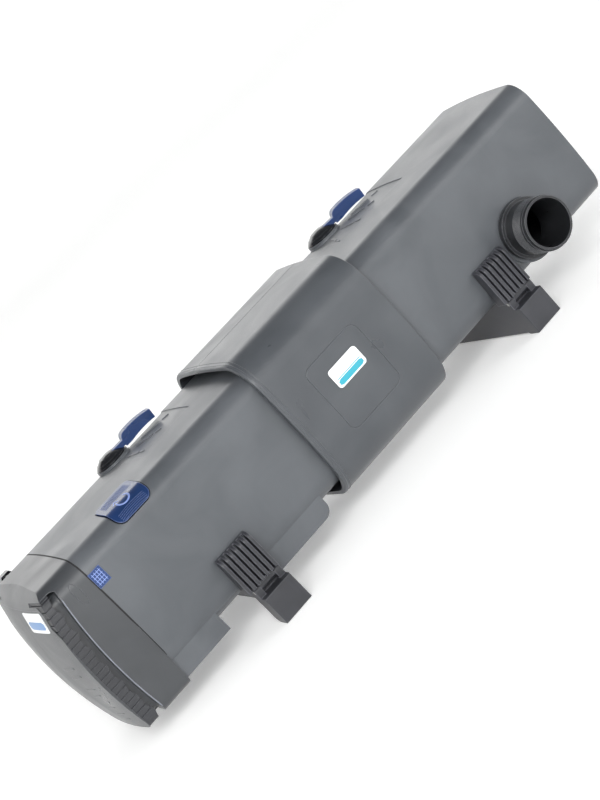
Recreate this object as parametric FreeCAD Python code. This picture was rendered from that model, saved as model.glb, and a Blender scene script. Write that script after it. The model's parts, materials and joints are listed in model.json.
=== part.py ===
import FreeCAD, Part

# Pond UV clarifier: a two-part pressure vessel with a joining sleeve, a lamp head that pulls out of
# the left end, a quartz tube with a water-driven cleaning rotor, two bypass levers and two feet.
# Millimetres, +Z up, -Y is the front with the outlet, +X runs from the lamp head to the closed end.
# Parts are drawn with x = 0 at the joint between head and vessel, and moved to the centre on export.

import math
import os

from FreeCAD import Placement, Rotation, Vector

os.makedirs("parts", exist_ok=True)

# ---- driving dimensions -------------------------------------------------------------------------
body_length = 702.0          # head joint to the outside of the closed end
body_half_depth = 100.0
body_height = 158.0
ground_clearance = 43.0      # floor to the underside of the vessel
body_corner = 25.0
side_crown = 5.0             # how far the front and back bulge
top_crown = 4.0
end_bulge_radius = 1400.0
wall = 4.0

head_length = 71.0
head_drop = 20.0             # how far the head hangs below the vessel
head_low_corner = 13.0
head_wall = 3.0
head_end_radius_up = 330.0   # end curve seen from the side
head_end_radius_across = 800.0
head_top_round = 26.0
head_top_over = 0.5          # the end's rounding would finish this far above the head's top
head_mid_below_axis = 29.0   # the end curves are centred this far below the lamp axis
panel_thickness = 3.0
panel_lip = 6.0              # the head's own rim behind the end panel
panel_side_margin = 14.0     # end panel's edges from the head's outside
panel_top_margin = 16.0
panel_corner = 12.0
panel_rim = 3.0              # least width of shell between the panel and the pull recess

grip_depth = 8.0             # depth of the pull recess in the head
grip_outer_edge = 62.0       # the recess's edge nearest the end, from the joint
grip_outer_radius = 627.0
grip_groove_radius = 432.0
grip_strip_radius = 565.0
grip_top = 9.0               # the recess's rounded top below the head's top
grip_top_round = 10.0
grip_groove_inner = 42.0     # the finger groove's edge nearest the vessel, from the joint
grip_strip_edge = 47.5       # the wavy edge of the ribbed strip, from the joint
grip_wrap = 57.0             # the recess stops this far from the middle plane
grip_strip_low = 0.6         # the strip's surface below the head's
grip_wave_pitch = 21.0
grip_wave_radius = 18.0
grip_wave_depth = 2.2
grip_rib_pitch = 7.0
grip_rib_gap = 1.3
grip_rib_depth = 1.2

sleeve_x = 250.0
sleeve_length = 166.0
sleeve_side_proud = 10.0
sleeve_top_proud = 15.0
sleeve_corner = 42.0
sleeve_crown = 9.0
sleeve_wall = 5.0
flange_width = 7.0
gasket_width = 2.0

nozzle_bore_radius = 26.15
nozzle_thread_radius = 29.8  # G2 pipe thread
nozzle_thread_pitch = 2.309
nozzle_thread_depth = 1.3
nozzle_thread_turns = 7
nozzle_root_radius = 28.6    # the plain stretch inside the vessel's wall
nozzle_length = 47.0         # mouth to the vessel's side
nozzle_inset = 110.0         # nozzle axis to the closed end of the vessel
nozzle_below_axis = 40.0
nozzle_collar_radius = 33.5
nozzle_collar_thickness = 6.0
inlet_x = 192.0
port_seal_thickness = 2.5

lever_inset = 26.0           # spindles from the vessel's back
lever_left_x = 134.0
lever_right_from_end = 218.0
lever_left_rest = -6.0       # degrees from pointing along +X
lever_right_rest = -15.0
scale_left_start = 3.0       # a lever's scale recess starts this far from its spindle
scale_right_start = -24.5
lever_reach = 66.0
lever_width = 14.0
lever_grip_start = 22.0      # from the spindle
lever_neck_width = 9.0
lever_neck_height = 6.0
lever_hub_radius = 19.5
lever_hub_height = 9.5
spindle_radius = 5.0
flap_half_width = 13.0
flap_height = 60.0
flap_thickness = 3.0

button_x = 58.0
button_length = 46.0
button_drop = 16.0           # lower edge below the vessel's top
button_reach = 61.0          # upper edge from the vessel's front
button_thickness = 3.0
button_proud = 1.2
button_travel = 1.5
spring_washer_radius = 3.0
spring_wire_radius = 0.45

foot_left_x = 103.0
foot_right_from_end = 187.0
foot_width = 37.0
foot_block_height = 34.0
foot_proud = 18.0            # foot blocks in front of the vessel's side
foot_block_depth = 24.0
foot_wall = 4.0
clip_width = 42.5
clip_shift = 6.0             # the clip starts this much before the foot block
clip_height = 49.0
clip_proud = 12.5            # in front of the vessel's side
clip_ribs = 7
clip_rib_share = 0.58
clip_rib_depth = 9.0
hinge_pin_radius = 2.0
hinge_knuckle_radius = 4.0
hinge_rise = 8.0             # hinge pin above the foot block
hinge_proud = 4.0            # hinge pin in front of the vessel's side

keel_length = 224.0
keel_drop = 10.0
keel_inset = 7.0             # rails' outer faces from the vessel's side
keel_thickness = 12.0
keel_notch_start = 64.0
keel_end_round = 12.0

quartz_radius = 23.0
quartz_wall = 2.0
quartz_end_gap = 142.0       # how much shorter the quartz tube is than the vessel
quartz_start = -18.0
lamp_tube_radius = 8.75      # 55 W twin-tube lamp
lamp_tube_gap = 5.0
lamp_end_gap = 25.0          # how much shorter the lamp is than the quartz tube
rotor_start = 96.0
rotor_from_end = 172.0
rotor_journal_radius = 32.0
rotor_ring_width = 12.0
rotor_blades = 8
rotor_blade_gap = 23.0       # blade tips to the vessel's outside
rotor_blade_width = 26.0

# ---- clearances ---------------------------------------------------------------------------------
slide_gap = 0.3              # between pieces that slide or swing past each other
running_fit = 0.05           # shaft in bearing

# ---- places worked out from the sizes above -----------------------------------------------------
axis_z = ground_clearance + body_height / 2.0
body_low = ground_clearance
body_high = ground_clearance + body_height
head_low = body_low - head_drop
head_mid_z = axis_z - head_mid_below_axis
joint_x = sleeve_x + sleeve_length / 2.0     # where the two vessel halves meet
lever_y = body_half_depth - lever_inset
lever_right_x = body_length - lever_right_from_end
button_wrap = body_half_depth - button_reach
foot_right_x = body_length - foot_right_from_end
foot_front = body_half_depth + foot_proud
hinge_out = body_half_depth + hinge_proud
keel_out = body_half_depth - keel_inset
quartz_length = body_length - quartz_end_gap
lamp_length = quartz_length - lamp_end_gap
rotor_end = body_length - rotor_from_end
rotor_blade_radius = body_height / 2.0 - rotor_blade_gap
nozzle_x = body_length - nozzle_inset
nozzle_z = axis_z - nozzle_below_axis
nozzle_reach = body_half_depth + nozzle_length
port_seat = body_half_depth - 1.0            # the flat seat of a nozzle's collar
centre_x = (body_length - head_length) / 2.0
far = 1000.0


# ---- helpers ------------------------------------------------------------------------------------
def export(name, shape):
    """Writes one node, moved so that x = 0 is the middle of the whole length."""
    shape = shape.copy()
    shape.translate(Vector(-centre_x, 0, 0))
    shape.exportStep(f"parts/{name}.step")
    solids = shape.Solids
    print(f"{name}: {len(solids)} solid(s), {shape.Volume / 1000:.1f} cm3, valid {shape.isValid()}")


def box(x0, x1, y0, y1, z0, z1):
    return Part.makeBox(x1 - x0, y1 - y0, z1 - z0, Vector(x0, y0, z0))


def rod(radius, start, end):
    """A cylinder from one point to another."""
    along = Vector(*end).sub(Vector(*start))
    return Part.makeCylinder(radius, along.Length, Vector(*start), along)


def ring(outer, inner, start, end):
    return rod(outer, start, end).cut(rod(inner, start, end))


def mirror_y(shape):
    return shape.mirror(Vector(0, 0, 0), Vector(0, 1, 0))


def join(shapes):
    """Fuses a list of shapes into one clean solid."""
    shapes = list(shapes)
    return shapes[0].multiFuse(shapes[1:]).removeSplitter()


def edges_where(shape, test):
    return [edge for edge in shape.Edges if test(edge)]


def runs_along(edge, direction):
    """True for a straight edge parallel to a direction."""
    if edge.Curve.TypeId != "Part::GeomLine":
        return False
    return abs(edge.tangentAt(edge.FirstParameter).dot(Vector(*direction))) > 0.999


def crowned_bar(x0, x1, half_depth, low, high, crown_side, crown_top, top_corner, low_corner):
    """A bar along X whose four sides bulge gently, with rounded long edges."""
    mid = (low + high) / 2.0
    side = half_depth - crown_side
    corners = [(side, high - crown_top), (side, low + crown_top)]
    corners += [(-side, low + crown_top), (-side, high - crown_top)]
    bulges = [(half_depth, mid), (0, low), (-half_depth, mid), (0, high)]
    sides = []
    for number, bulge in enumerate(bulges):
        first, last = corners[number], corners[(number + 1) % 4]
        points = [Vector(x0, y, z) for y, z in (first, bulge, last)]
        sides.append(Part.Arc(*points).toShape())
    bar = Part.Face(Part.Wire(sides)).extrude(Vector(x1 - x0, 0, 0))
    for radius, upper in ((top_corner, True), (low_corner, False)):
        chosen = edges_where(bar, lambda e: runs_along(e, (1, 0, 0))
                             and (e.Vertexes[0].Z > mid) == upper)
        bar = bar.makeFillet(radius, chosen)
    return bar


def body_form(x0, x1, grow=0.0):
    """The vessel's outer form, thicker or thinner all round by `grow`."""
    corner = body_corner + grow
    return crowned_bar(x0, x1, body_half_depth + grow, body_low - grow, body_high + grow,
                       side_crown, top_crown, corner, corner)


def sleeve_form(x0, x1, grow=0.0):
    out, up = sleeve_side_proud + grow, sleeve_top_proud + grow
    return crowned_bar(x0, x1, body_half_depth + out, body_low - up, body_high + up,
                       sleeve_crown, top_crown, sleeve_corner + grow, sleeve_corner + grow)


def head_section(x0, x1, grow=0.0):
    return crowned_bar(x0, x1, body_half_depth + grow, head_low - grow, body_high + grow,
                       side_crown, top_crown, body_corner + grow, head_low_corner + grow)


def behind_curve(apex, radius):
    """Everything to the right of a curve that bulges to the left, seen from the front."""
    return rod(radius, (apex + radius, -far, head_mid_z), (apex + radius, far, head_mid_z))


def head_end(grow):
    """A barrel that bulges to the left and rounds over at its top, turned about an upright line."""
    apex = -head_length - grow
    radius, top = head_end_radius_up + grow, body_high + head_top_over + grow
    middle = Vector(apex + radius, 0, head_mid_z)
    over = head_top_round + grow
    lift = math.asin((top - over - head_mid_z) / (radius - over))
    corner = middle.add(Vector(-math.cos(lift), 0, math.sin(lift)) * (radius - over))
    bend = corner.add(Vector(-math.cos(lift), 0, math.sin(lift)) * over)
    halfway = math.pi / 4 + lift / 2
    on_bend = corner.add(Vector(-math.cos(halfway), 0, math.sin(halfway)) * over)
    crown = corner.add(Vector(0, 0, over))
    low = Vector(apex + radius - math.sqrt(radius ** 2 - (head_mid_z + 50) ** 2), 0, -50)
    pole = apex + head_end_radius_across + grow
    lines = [Part.Arc(low, Vector(apex, 0, head_mid_z), bend), Part.Arc(bend, on_bend, crown),
             Part.LineSegment(crown, Vector(pole, 0, top)),
             Part.LineSegment(Vector(pole, 0, top), Vector(pole, 0, -50)),
             Part.LineSegment(Vector(pole, 0, -50), low)]
    profile = Part.Face(Part.Wire([line.toShape() for line in lines]))
    return profile.revolve(Vector(pole, 0, 0), Vector(0, 0, 1), 360)


def head_form(grow=0.0):
    """The head's outer form with its curved, rounded end."""
    return head_section(-head_length - grow - 1, 0, grow).common(head_end(grow))


def spread(count, pitch):
    """Evenly spaced places about zero."""
    return [(number - (count - 1) / 2.0) * pitch for number in range(count)]


# ---- vessel -------------------------------------------------------------------------------------
def closed_end():
    """The gentle bulge of the vessel's closed end."""
    reach = body_length - end_bulge_radius
    across = rod(end_bulge_radius, (reach, 0, -far), (reach, 0, far))
    up = rod(end_bulge_radius, (reach, -far, axis_z), (reach, far, axis_z))
    return across.common(up)


def flange(x0, x1):
    """The outward flange at the joint, which also carries the sleeve."""
    hollow = body_form(x0 - 1, x1 + 1, -wall)
    return sleeve_form(x0, x1, -sleeve_wall - slide_gap).cut(hollow)


def lever_boss(x):
    """A flat-topped pillar under a lever with a bore for its spindle."""
    top = body_high + 1.0
    pillar = rod(lever_hub_radius + 1.5, (x, lever_y, body_high - 34), (x, lever_y, top))
    inside = body_form(x - 40, x + 40, 0.0).fuse(
        rod(lever_hub_radius + 1.5, (x, lever_y, body_high - body_corner), (x, lever_y, top)))
    return pillar.common(inside)


def spindle_hole(x):
    return rod(spindle_radius + running_fit, (x, lever_y, axis_z), (x, lever_y, body_high + 9))


def scale_recess(x, start):
    """A shallow recess in front of a lever, with raised marks fanned round its spindle."""
    depth, front_edge, end = 1.0, -19.0, 77.0
    top = body_high + 5
    recess = box(x + start, x + end, front_edge, lever_y + 30, body_high - 30, top)
    recess = recess.cut(body_form(x - 60, x + 120, -depth))
    for angle in (-30.0, -55.0, -80.0, -105.0):
        mark = box(40, 66, -1.6, 1.6, body_high - 30, top)
        mark = mark.fuse(box(71, 80, -1.1, 1.1, body_high - 30, top))
        mark.rotate(Vector(0, 0, 0), Vector(0, 0, 1), angle)
        mark.translate(Vector(x, lever_y, 0))
        recess = recess.cut(mark)
    return recess.cut(rod(lever_hub_radius + 3, (x, lever_y, 0), (x, lever_y, top)))


def keel():
    """Two rails under the left half, with gaps where the foot passes through."""
    low = body_low - keel_drop
    rail = box(0, keel_length, -keel_out, -keel_out + keel_thickness, low, body_low + 24)
    end = edges_where(rail, lambda e: runs_along(e, (0, 1, 0)) and e.Vertexes[0].X > 1
                      and e.Vertexes[0].Z < body_low)
    rail = rail.makeFillet(keel_end_round, end)
    rail = rail.cut(body_form(-1, keel_length + 1, -wall / 2))
    notch = box(keel_notch_start, foot_left_x + foot_width + slide_gap * 3, -far, 0, low - 1,
                body_low + 12)
    rail = rail.cut(notch.cut(body_form(0, keel_length, 0)))
    return [rail, mirror_y(rail)]


def button_region(margin):
    """The part of the vessel's upper front edge that the release button covers."""
    low = body_high - button_drop - margin
    corner = 9.0
    region = box(button_x - margin, button_x + button_length + margin, -far, -button_wrap + margin,
                 low, body_high + 20)
    lower = edges_where(region, lambda e: runs_along(e, (0, 1, 0)) and e.Vertexes[0].Z < low + 1)
    region = region.makeFillet(corner + margin, lower)
    upper = edges_where(region, lambda e: runs_along(e, (0, 0, 1)) and e.Vertexes[0].Y > -far / 2)
    return region.makeFillet(corner + margin, upper)


pocket_depth = button_thickness + button_travel + 2 * spring_wire_radius + 3 * slide_gap


def button_pocket():
    margin = slide_gap + button_travel * math.sqrt(0.5)
    ends = (button_x - 20, button_x + button_length + 20)
    return button_region(margin).common(body_form(*ends, 5.0)).cut(body_form(*ends, -pocket_depth))


def button_boss():
    """Extra thickness inside the wall behind the button."""
    depth = pocket_depth + wall
    ends = (button_x - 8, button_x + button_length + 8)
    return body_form(*ends, -1.0).cut(body_form(*ends, -depth)).common(
        box(*ends, -far, -button_wrap + 10, body_high - button_drop - 10, far))


def mark_region():
    size, height, inset = 15.0, 18.0, 0.6
    low = body_high - 42
    return box(inset, inset + size, -far, -body_half_depth / 2, low, low + height)


def port_hole(x, side):
    """The hole in the vessel for a nozzle's spigot."""
    return rod(nozzle_root_radius + 0.2, (x, side * (port_seat - 40), nozzle_z),
               (x, side * (port_seat + 30), nozzle_z))


def port_face(x, side):
    """A flat seat outside and a thick rim inside for a nozzle's collar."""
    return ring(nozzle_collar_radius + 3, nozzle_root_radius, (x, side * (port_seat - 12), nozzle_z),
                (x, side * port_seat, nozzle_z))


def seat_cut(x, side):
    return rod(nozzle_collar_radius + 0.5, (x, side * port_seat, nozzle_z),
               (x, side * (port_seat + 30), nozzle_z))


def housing_left():
    outer = body_form(0, joint_x - gasket_width / 2)
    end = joint_x - gasket_width / 2
    shell = join([outer, flange(end - flange_width, end)] + keel())
    shell = shell.cut(body_form(-1, joint_x + 1, -wall))
    shell = join([shell, button_boss(), lever_boss(lever_left_x), port_face(inlet_x, 1)])
    for tool in (button_pocket(), scale_recess(lever_left_x, scale_left_start), spindle_hole(lever_left_x),
                 port_hole(inlet_x, 1), seat_cut(inlet_x, 1), flange_holes()):
        shell = shell.cut(tool)
    ends = (-1, 30)
    mark = mark_region().common(body_form(*ends, 2)).cut(body_form(*ends, -1.5))
    return shell.cut(mark)


def housing_right():
    start = joint_x + gasket_width / 2
    outer = body_form(start, body_length + 5).common(closed_end())
    inner = closed_end()
    inner.translate(Vector(-wall, 0, 0))
    shell = join([outer, flange(start, start + flange_width)])
    shell = shell.cut(body_form(start - 1, body_length + 6, -wall).common(inner))
    shell = join([shell, lever_boss(lever_right_x), port_face(nozzle_x, -1)])
    for tool in (scale_recess(lever_right_x, scale_right_start), spindle_hole(lever_right_x),
                 port_hole(nozzle_x, -1), seat_cut(nozzle_x, -1), flange_holes()):
        shell = shell.cut(tool)
    return shell


flange_bolts = [(y, side) for side in (-1, 1) for y in (-55.0, 0.0, 55.0)]
bolt_radius = 2.0


def bolt_line(y, side):
    """The height of a flange bolt, in the middle of the flange above or below the wall."""
    middle = body_height / 2 + (sleeve_top_proud - sleeve_wall) / 2 - top_crown * (y / 80.0) ** 2
    return axis_z + side * middle


def flange_holes():
    start, end = joint_x - flange_width - 2, joint_x + flange_width + 2
    holes = [rod(bolt_radius + 0.2, (start, y, bolt_line(y, side)), (end, y, bolt_line(y, side)))
             for y, side in flange_bolts]
    return Part.makeCompound(holes)


def flange_screws():
    half = flange_width + gasket_width / 2
    screws = []
    for y, side in flange_bolts:
        z = bolt_line(y, side)
        shank = rod(bolt_radius, (joint_x - half, y, z), (joint_x + half + 4.5, y, z))
        head = rod(3.4, (joint_x - half - 3.0, y, z), (joint_x - half, y, z))
        slot = box(joint_x - half - 4, joint_x - half - 1.8, y - 2.4, y + 2.4, z - 0.5, z + 0.5)
        screws.append(shank.fuse(head).cut(slot))
    return Part.makeCompound(screws)


def flange_nuts():
    half = flange_width + gasket_width / 2
    nuts = []
    for y, side in flange_bolts:
        z = bolt_line(y, side)
        corners = [Vector(joint_x + half, y + 3.9 * math.cos(math.radians(60 * k)),
                          z + 3.9 * math.sin(math.radians(60 * k))) for k in range(7)]
        nut = Part.Face(Part.makePolygon(corners)).extrude(Vector(3.2, 0, 0))
        nuts.append(nut.cut(rod(bolt_radius, (joint_x, y, z), (joint_x + half + 5, y, z))))
    return Part.makeCompound(nuts)


def joint_gasket():
    x0, x1 = joint_x - gasket_width / 2, joint_x + gasket_width / 2
    gasket = sleeve_form(x0, x1, -sleeve_wall - 1.0).cut(body_form(x0 - 1, x1 + 1, -wall))
    return gasket.cut(flange_holes())


# ---- sleeve -------------------------------------------------------------------------------------
label_x = sleeve_x + 62.6
label_length = 41.7
label_height = 22.7
label_low = axis_z - 4.7
frame_x = sleeve_x + 43.0
frame_length = 78.0
frame_low = axis_z - 46.0
frame_height = 82.0


def rounded_plate(x, length, low, height, radius):
    """A rounded rectangle on the front, as a prism across Y."""
    plate = box(x, x + length, -far, -body_half_depth / 2, low, low + height)
    return plate.makeFillet(radius, edges_where(plate, lambda e: runs_along(e, (0, 1, 0))))


def centre_sleeve():
    x1 = sleeve_x + sleeve_length
    sleeve = sleeve_form(sleeve_x, x1)
    rims = edges_where(sleeve, lambda e: abs(e.BoundBox.XMax - e.BoundBox.XMin) < 0.01)
    sleeve = sleeve.makeFillet(1.6, rims)
    sleeve = sleeve.cut(sleeve_form(sleeve_x - 1, x1 - sleeve_wall, -sleeve_wall))
    sleeve = sleeve.cut(body_form(sleeve_x, x1 + 1, slide_gap))
    line, depth = 0.9, 0.8
    skin = sleeve_form(frame_x - 5, frame_x + frame_length + 5, 1.0).cut(
        sleeve_form(frame_x - 6, frame_x + frame_length + 6, -depth))
    frame = rounded_plate(frame_x, frame_length, frame_low, frame_height, 10.0)
    inner = rounded_plate(frame_x + line, frame_length - 2 * line, frame_low + line,
                          frame_height - 2 * line, 10.0 - line)
    sleeve = sleeve.cut(frame.cut(inner).common(skin))
    crease = box(sleeve_x - 1, x1 + 1, 14, 15.2, body_high, far)
    crease = crease.common(sleeve_form(sleeve_x - 2, x1 + 2, 1.0)).cut(
        sleeve_form(sleeve_x - 3, x1 + 3, -depth))
    return sleeve.cut(crease)


def front_label():
    """A blank plate stuck to the sleeve."""
    ends = (label_x - 5, label_x + label_length + 5)
    plate = rounded_plate(label_x, label_length, label_low, label_height, 4.0)
    return plate.common(sleeve_form(*ends, 0.8)).cut(sleeve_form(ends[0] - 1, ends[1] + 1, 0.0))


# ---- ports --------------------------------------------------------------------------------------
def nozzle(x, side):
    """A screwed pipe nozzle with a collar, a threaded spigot and a lip at its mouth."""
    seat = port_seat + port_seal_thickness
    inside = port_seat - 13.0

    def disc(radius, near, away):
        return rod(radius, (x, side * near, nozzle_z), (x, side * away, nozzle_z))

    pieces = [disc(nozzle_root_radius, inside, seat),
              disc(nozzle_collar_radius, seat, seat + nozzle_collar_thickness),
              disc(nozzle_thread_radius, seat, nozzle_reach)]
    body = join(pieces)
    mouth = nozzle_reach
    body = body.cut(ring(40, nozzle_thread_radius - 1.2, (x, side * (mouth - 3), nozzle_z),
                         (x, side * (mouth + 1), nozzle_z)))
    body = body.cut(ring(40, nozzle_thread_radius - 2.2, (x, side * (mouth - 4.4), nozzle_z),
                         (x, side * (mouth - 3), nozzle_z)))
    for turn in range(nozzle_thread_turns):
        middle = mouth - 8.5 - turn * nozzle_thread_pitch
        groove = Part.makeTorus(nozzle_thread_radius + 0.1, nozzle_thread_pitch * 0.42,
                                Vector(x, side * middle, nozzle_z), Vector(0, 1, 0))
        body = body.cut(groove)
    return body.cut(disc(nozzle_bore_radius, 0, 200))


def port_seal(x, side):
    return ring(nozzle_collar_radius - 1, nozzle_root_radius, (x, side * port_seat, nozzle_z),
                (x, side * (port_seat + port_seal_thickness), nozzle_z))


# ---- bypass levers ------------------------------------------------------------------------------
hub_low = body_high + 1.0 + slide_gap


def turned(shape, x, angle):
    """Turns a lever piece about its spindle."""
    shape = shape.copy()
    shape.rotate(Vector(x, lever_y, 0), Vector(0, 0, 1), angle)
    return shape


def lever_hub(x):
    """The domed black cap that the handle plugs into."""
    rim = 1.5
    rise = lever_hub_height - rim
    dome_radius = (lever_hub_radius ** 2 + rise ** 2) / (2 * rise)
    top = hub_low + lever_hub_height
    dome = rod(lever_hub_radius, (x, lever_y, hub_low), (x, lever_y, top)).common(
        Part.makeSphere(dome_radius, Vector(x, lever_y, top - dome_radius)))
    dome = dome.cut(lever_handle(x))
    dome = max(dome.Solids, key=lambda solid: solid.Volume)
    return dome.cut(rod(spindle_radius, (x, lever_y, hub_low - 1), (x, lever_y, hub_low + 6)))


def lever_handle(x):
    """The blue handle: a neck over the hub and a thick grip that thins towards its flat end."""
    low = body_high + 1.0 + slide_gap / 2
    half = lever_width / 2
    start, end = x + lever_grip_start, x + lever_reach
    outline = [Part.Arc(Vector(start, 0, low + 7.5), Vector(start + 2.3, 0, low + 12.0),
                        Vector(start + 7, 0, low + 14.2)),
               Part.Arc(Vector(start + 7, 0, low + 14.2), Vector(start + 22, 0, low + 14.6),
                        Vector(end, 0, low + 11.4)),
               Part.LineSegment(Vector(end, 0, low + 11.4), Vector(end - 1, 0, low + 0.6)),
               Part.Arc(Vector(end - 1, 0, low + 0.6), Vector(start + 26, 0, low + 1.6),
                        Vector(start + 8, 0, low)),
               Part.LineSegment(Vector(start + 8, 0, low), Vector(start, 0, low)),
               Part.LineSegment(Vector(start, 0, low), Vector(start, 0, low + 7.5))]
    side = Part.Face(Part.Wire([line.toShape() for line in outline]))
    side.translate(Vector(0, lever_y - half, 0))
    grip = side.extrude(Vector(0, lever_width, 0))
    neck_low = hub_low + 2.0
    neck = box(x - 2, start + 4, lever_y - half, lever_y - half + lever_neck_width, neck_low,
               neck_low + lever_neck_height)
    handle = grip.fuse(neck).cut(rod(spindle_radius, (x, lever_y, hub_low), (x, lever_y, hub_low + 6)))
    return max(handle.Solids, key=lambda solid: solid.Volume)


def lever_spindle(x):
    """The spindle: a shaft through the boss with a slotted lower end that grips the flap."""
    low = axis_z - flap_height / 2
    return rod(spindle_radius, (x, lever_y, low), (x, lever_y, hub_low + 6))


def spindle_seal(x):
    """The O-ring round the spindle, in a groove at the bottom of the boss."""
    z = body_high - 37.0
    return ring(spindle_radius + 4, spindle_radius + running_fit, (x, lever_y, z),
                (x, lever_y, z + 3.0))


def bypass_flap(x):
    """The plate that the spindle turns inside the vessel."""
    low, high = axis_z - flap_height / 2, axis_z + flap_height / 2
    plate = box(x - flap_half_width, x + flap_half_width, lever_y - flap_thickness / 2,
                lever_y + flap_thickness / 2, low, high)
    plate = plate.fuse(rod(spindle_radius + 2, (x, lever_y, low), (x, lever_y, high)))
    return plate.cut(rod(spindle_radius, (x, lever_y, low - 1), (x, lever_y, high + 1)))


# ---- release button -----------------------------------------------------------------------------
inward = Vector(0, math.sqrt(0.5), -math.sqrt(0.5))


def release_button():
    """The blue button that wraps the vessel's upper front edge."""
    ends = (button_x - 5, button_x + button_length + 5)
    button = button_region(0.0).common(body_form(*ends, button_proud))
    return button.cut(body_form(ends[0] - 1, ends[1] + 1, -button_thickness))


def corner_surface(depth):
    """The middle of the upper front corner's curve, `depth` under the vessel's surface."""
    lean = math.atan(4 * side_crown / body_height) + math.atan(2 * top_crown / body_half_depth)
    radius = body_corner - depth
    inset = radius / math.sin(math.pi / 4 + lean / 2) - radius
    corner = Vector(button_x + button_length / 2, -(body_half_depth - side_crown - depth),
                    body_high - top_crown - depth)
    return corner.add(inward * inset)


def button_spring():
    """The round-wire spring washer that lies on the floor of the button's pocket."""
    washer = Part.makeTorus(spring_washer_radius, spring_wire_radius)
    lift = spring_wire_radius + slide_gap / 2
    washer.Placement = Placement(corner_surface(pocket_depth).sub(inward * lift),
                                 Rotation(Vector(0, 0, 1), inward))
    return washer


def position_mark():
    """The small square that shows where the head lines up."""
    ends = (-1, 30)
    return mark_region().common(body_form(*ends, 0.4)).cut(body_form(-2, 31, -1.5))


# ---- feet ---------------------------------------------------------------------------------------
hinge_z = foot_block_height + hinge_rise
ear_width = 8.0


def foot_block(x):
    """One upright block with two ears for the clip's hinge pin."""
    block = box(x, x + foot_width, -foot_front, -foot_front + foot_block_depth, 0, foot_block_height)
    back = -foot_front + foot_block_depth
    corners = edges_where(block, lambda e: runs_along(e, (1, 0, 0)) and e.Vertexes[0].Z < 1
                          and e.Vertexes[0].Y > -foot_front + 1)
    block = block.makeFillet(8.0, corners)
    front = edges_where(block, lambda e: abs(e.BoundBox.YMax + foot_front) < 0.01)
    block = block.makeFillet(1.2, front)
    ears = []
    for start in (x, x + foot_width - ear_width):
        ear = box(start, start + ear_width, -hinge_out - hinge_knuckle_radius,
                  -hinge_out + hinge_knuckle_radius, foot_block_height - 3, hinge_z)
        ears.append(ear.fuse(rod(hinge_knuckle_radius, (start, -hinge_out, hinge_z),
                                 (start + ear_width, -hinge_out, hinge_z))))
    web = box(x, x + foot_width, back - 6, back + 1, foot_block_height - 9,
              hinge_z + hinge_knuckle_radius)
    return join([block, web] + ears)


def foot_bracket(x, saddle_low):
    """A foot that crosses under the vessel and stands on a block at the front and the back."""
    block = foot_block(x)
    inner = foot_front - foot_block_depth + 1.0
    saddle = box(x, x + foot_width, -inner, inner, saddle_low, body_low + 12)
    if saddle_low < body_low - 20:
        hollow = box(x + foot_wall, x + foot_width - foot_wall, -inner + 2, inner - 2,
                     saddle_low - 1, body_low - foot_wall)
        saddle = saddle.cut(hollow)
    bracket = join([block, mirror_y(block), saddle])
    pins = [rod(hinge_pin_radius, (x - 1, side * hinge_out, hinge_z),
                (x + foot_width + 1, side * hinge_out, hinge_z)) for side in (-1, 1)]
    for pin in pins:
        bracket = bracket.cut(pin)
    return bracket.cut(body_form(x - 5, x + foot_width + 5, slide_gap))


def hinge_pins(x):
    return Part.makeCompound([rod(hinge_pin_radius, (x, side * hinge_out, hinge_z),
                                  (x + foot_width, side * hinge_out, hinge_z))
                              for side in (-1, 1)])


def foot_clip(x, side):
    """The ribbed clip that swings up against the vessel's side and locks the foot."""
    start = x - clip_shift
    front = body_half_depth + clip_proud
    low = hinge_z + hinge_knuckle_radius + 0.5
    high = hinge_z + 2 + clip_height
    plate = box(start, start + clip_width, -front, -body_half_depth + 3.5, low, high)
    bend = edges_where(plate, lambda e: runs_along(e, (1, 0, 0)) and e.Vertexes[0].Z > high - 1
                       and e.Vertexes[0].Y < -front + 1)
    plate = plate.makeFillet(9.0, bend)
    pitch = clip_width / (clip_ribs - 1 + clip_rib_share)
    gap = pitch * (1 - clip_rib_share)
    for number in range(clip_ribs - 1):
        left = start + pitch * (number + clip_rib_share)
        plate = plate.cut(box(left, left + gap, -front - 1, -front + clip_rib_depth, low - 1, high + 1))
    left, right = x + ear_width + slide_gap, x + foot_width - ear_width - slide_gap
    knuckle = rod(hinge_knuckle_radius, (left, -hinge_out, hinge_z), (right, -hinge_out, hinge_z))
    neck = box(left, right, -hinge_out - hinge_knuckle_radius, -hinge_out + hinge_knuckle_radius,
               hinge_z, low + 1)
    clip = join([plate, knuckle, neck])
    clip = clip.cut(rod(hinge_pin_radius + running_fit, (left - 1, -hinge_out, hinge_z),
                        (right + 1, -hinge_out, hinge_z)))
    clip = clip.cut(body_form(start - 5, start + clip_width + 5, slide_gap + 0.1))
    return clip if side < 0 else mirror_y(clip)


# ---- head ---------------------------------------------------------------------------------------
def grip_band(right, right_radius):
    """The crescent on the head's front and back from the recess's outer edge to another curve."""
    return behind_curve(-grip_outer_edge, grip_outer_radius).cut(behind_curve(-right, right_radius))


def grip_limit():
    """The recess ends below the head's top in a rounded corner on each side."""
    top = body_high - grip_top
    limit = box(-grip_outer_edge, -grip_groove_inner + 14, -far, far, head_low - 50, top)
    return limit.makeFillet(grip_top_round, edges_where(
        limit, lambda e: runs_along(e, (0, 1, 0)) and e.Vertexes[0].Z > top - 1))


def panel_window(margin):
    """A rounded rectangle on the head's end, as a prism along X, smaller by `margin`."""
    half = body_half_depth - panel_side_margin - margin
    low = head_low + head_low_corner + margin
    window = box(-head_length - 5, -head_length / 2, -half, half, low,
                 body_high - panel_top_margin - margin)
    return window.makeFillet(panel_corner - margin / 2,
                             edges_where(window, lambda e: runs_along(e, (1, 0, 0))))


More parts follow.
